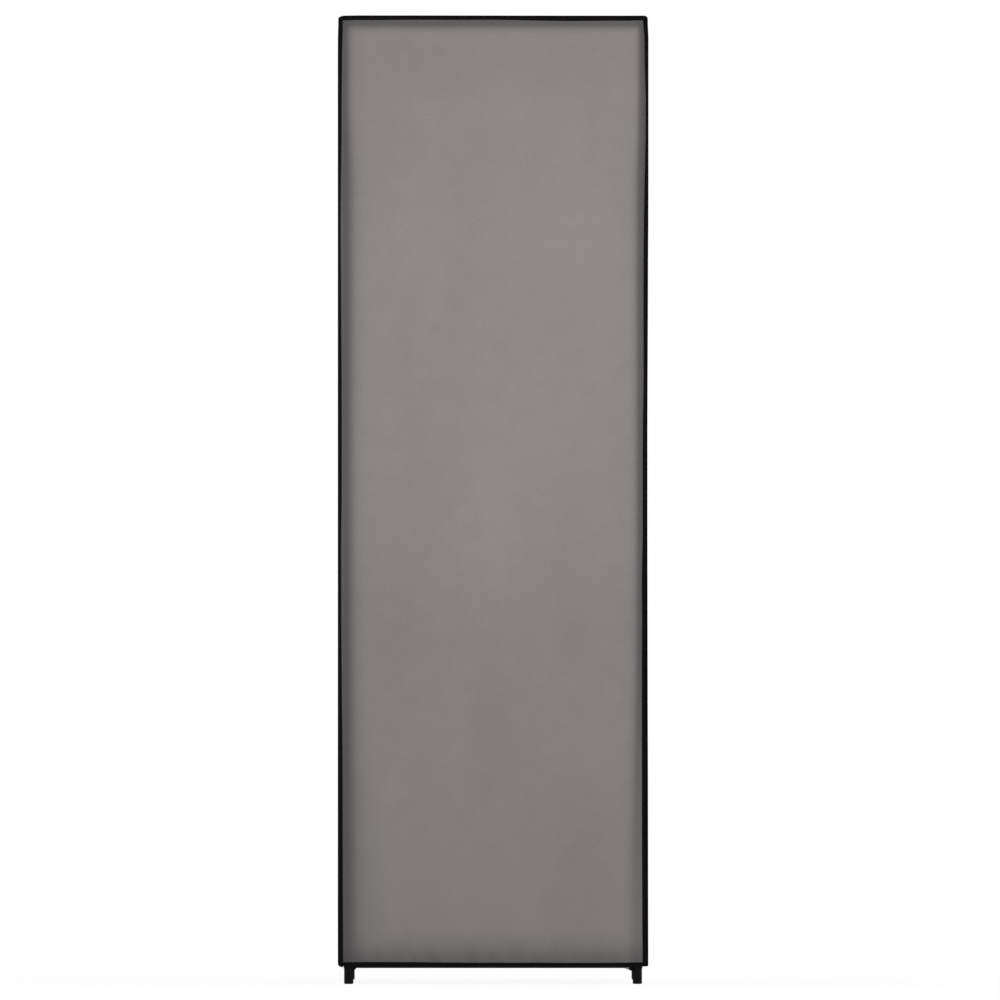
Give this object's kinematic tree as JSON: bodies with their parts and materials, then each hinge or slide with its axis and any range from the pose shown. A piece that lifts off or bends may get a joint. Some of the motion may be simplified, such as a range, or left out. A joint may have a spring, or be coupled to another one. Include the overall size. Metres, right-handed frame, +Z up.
{
  "type": "fabric wardrobe",
  "caption": "Free-standing wardrobe: a sewn cloth cover with bound seams over a frame of steel tubes, with a hanging rod, cloth shelves and a zipped front curtain that lifts.",
  "frame": {"origin": "middle of the footprint, on the floor under the feet", "axes": "+Z up, +X to the right of a person who faces the front, the front faces -Y"},
  "size_m": [0.75, 0.5116, 1.6],
  "materials": {
    "tube_steel": "black powder coat, satin",
    "connector_plastic": "black moulded plastic, matte",
    "cover_cloth": "grey non-woven cloth, matte",
    "shelf_cloth": "grey non-woven cloth, matte",
    "binding_tape": "black woven tape, matte",
    "zip_metal": "black lacquered die casting"
  },
  "bodies": {
    "wardrobe": {"bottom_rail_back": "tube_steel", "bottom_rail_front": "tube_steel", "bottom_rail_left": "tube_steel", "bottom_rail_right": "tube_steel", "bottom_shelf": "shelf_cloth", "cover_back": "cover_cloth", "cover_front_surround": "cover_cloth", "cover_left_side": "cover_cloth", "cover_right_side": "cover_cloth", "cover_top": "cover_cloth", "door_curtain": "cover_cloth", "foot_connector_back_left": "connector_plastic", "foot_connector_back_right": "connector_plastic", "foot_connector_front_left": "connector_plastic", "foot_connector_front_right": "connector_plastic", "hanging_rod": "tube_steel", "hem_binding": "binding_tape", "middle_shelf": "shelf_cloth", "rod_bracket_left": "connector_plastic", "rod_bracket_right": "connector_plastic", "seam_binding": "binding_tape", "shelf_connector_back_left": "connector_plastic", "shelf_connector_back_right": "connector_plastic", "shelf_connector_front_left": "connector_plastic", "shelf_connector_front_right": "connector_plastic", "shelf_rail_back": "tube_steel", "shelf_rail_front": "tube_steel", "top_connector_back_left": "connector_plastic", "top_connector_back_right": "connector_plastic", "top_connector_front_left": "connector_plastic", "top_connector_front_right": "connector_plastic", "top_rail_back": "tube_steel", "top_rail_front": "tube_steel", "top_rail_left_back": "tube_steel", "top_rail_left_front": "tube_steel", "top_rail_right_back": "tube_steel", "top_rail_right_front": "tube_steel", "upright_back_left_lower": "tube_steel", "upright_back_left_middle": "tube_steel", "upright_back_left_upper": "tube_steel", "upright_back_right_lower": "tube_steel", "upright_back_right_middle": "tube_steel", "upright_back_right_upper": "tube_steel", "upright_front_left_lower": "tube_steel", "upright_front_left_middle": "tube_steel", "upright_front_left_upper": "tube_steel", "upright_front_right_lower": "tube_steel", "upright_front_right_middle": "tube_steel", "upright_front_right_upper": "tube_steel", "zip_tape_left": "binding_tape", "zip_tape_right": "binding_tape"},
    "curtain_hem": {"curtain_hem": "binding_tape"},
    "zip_slider_left": {"zip_slider_left": "zip_metal"},
    "zip_slider_right": {"zip_slider_right": "zip_metal"},
    "pull_tab_left": {"pull_tab_left": "zip_metal"},
    "pull_tab_right": {"pull_tab_right": "zip_metal"},
    "tie_strap_left": {"tie_strap_left": "binding_tape"},
    "tie_strap_right": {"tie_strap_right": "binding_tape"}
  },
  "joints": [
    {"name": "curtain_lift", "type": "slide", "parent": "wardrobe", "child": "curtain_hem", "axis": [0, 0, 1], "range_m": [0, 1.34], "deforming": ["door_curtain"]},
    {"name": "zip_left_run", "type": "slide", "parent": "wardrobe", "child": "zip_slider_left", "axis": [0, 0, 1], "range_m": [0, 1.391]},
    {"name": "pull_tab_left_swing", "type": "hinge", "parent": "zip_slider_left", "child": "pull_tab_left", "pos_m": [-0.306, -0.25275, 0.085], "axis": [-1, 0, 0], "range_deg": [0, 150]},
    {"name": "zip_right_run", "type": "slide", "parent": "wardrobe", "child": "zip_slider_right", "axis": [0, 0, 1], "range_m": [0, 1.391]},
    {"name": "pull_tab_right_swing", "type": "hinge", "parent": "zip_slider_right", "child": "pull_tab_right", "pos_m": [0.306, -0.25275, 0.085], "axis": [-1, 0, 0], "range_deg": [0, 150]},
    {"name": "tie_strap_left_swing", "type": "hinge", "parent": "wardrobe", "child": "tie_strap_left", "pos_m": [-0.15, -0.25085, 1.494], "axis": [-1, 0, 0], "range_deg": [0, 160]},
    {"name": "tie_strap_right_swing", "type": "hinge", "parent": "wardrobe", "child": "tie_strap_right", "pos_m": [0.15, -0.25085, 1.494], "axis": [-1, 0, 0], "range_deg": [0, 160]}
  ],
  "couplings": [
    {"joint": "zip_left_run", "follows": "curtain_lift", "ratio": 1.038},
    {"joint": "zip_right_run", "follows": "curtain_lift", "ratio": 1.038}
  ]
}
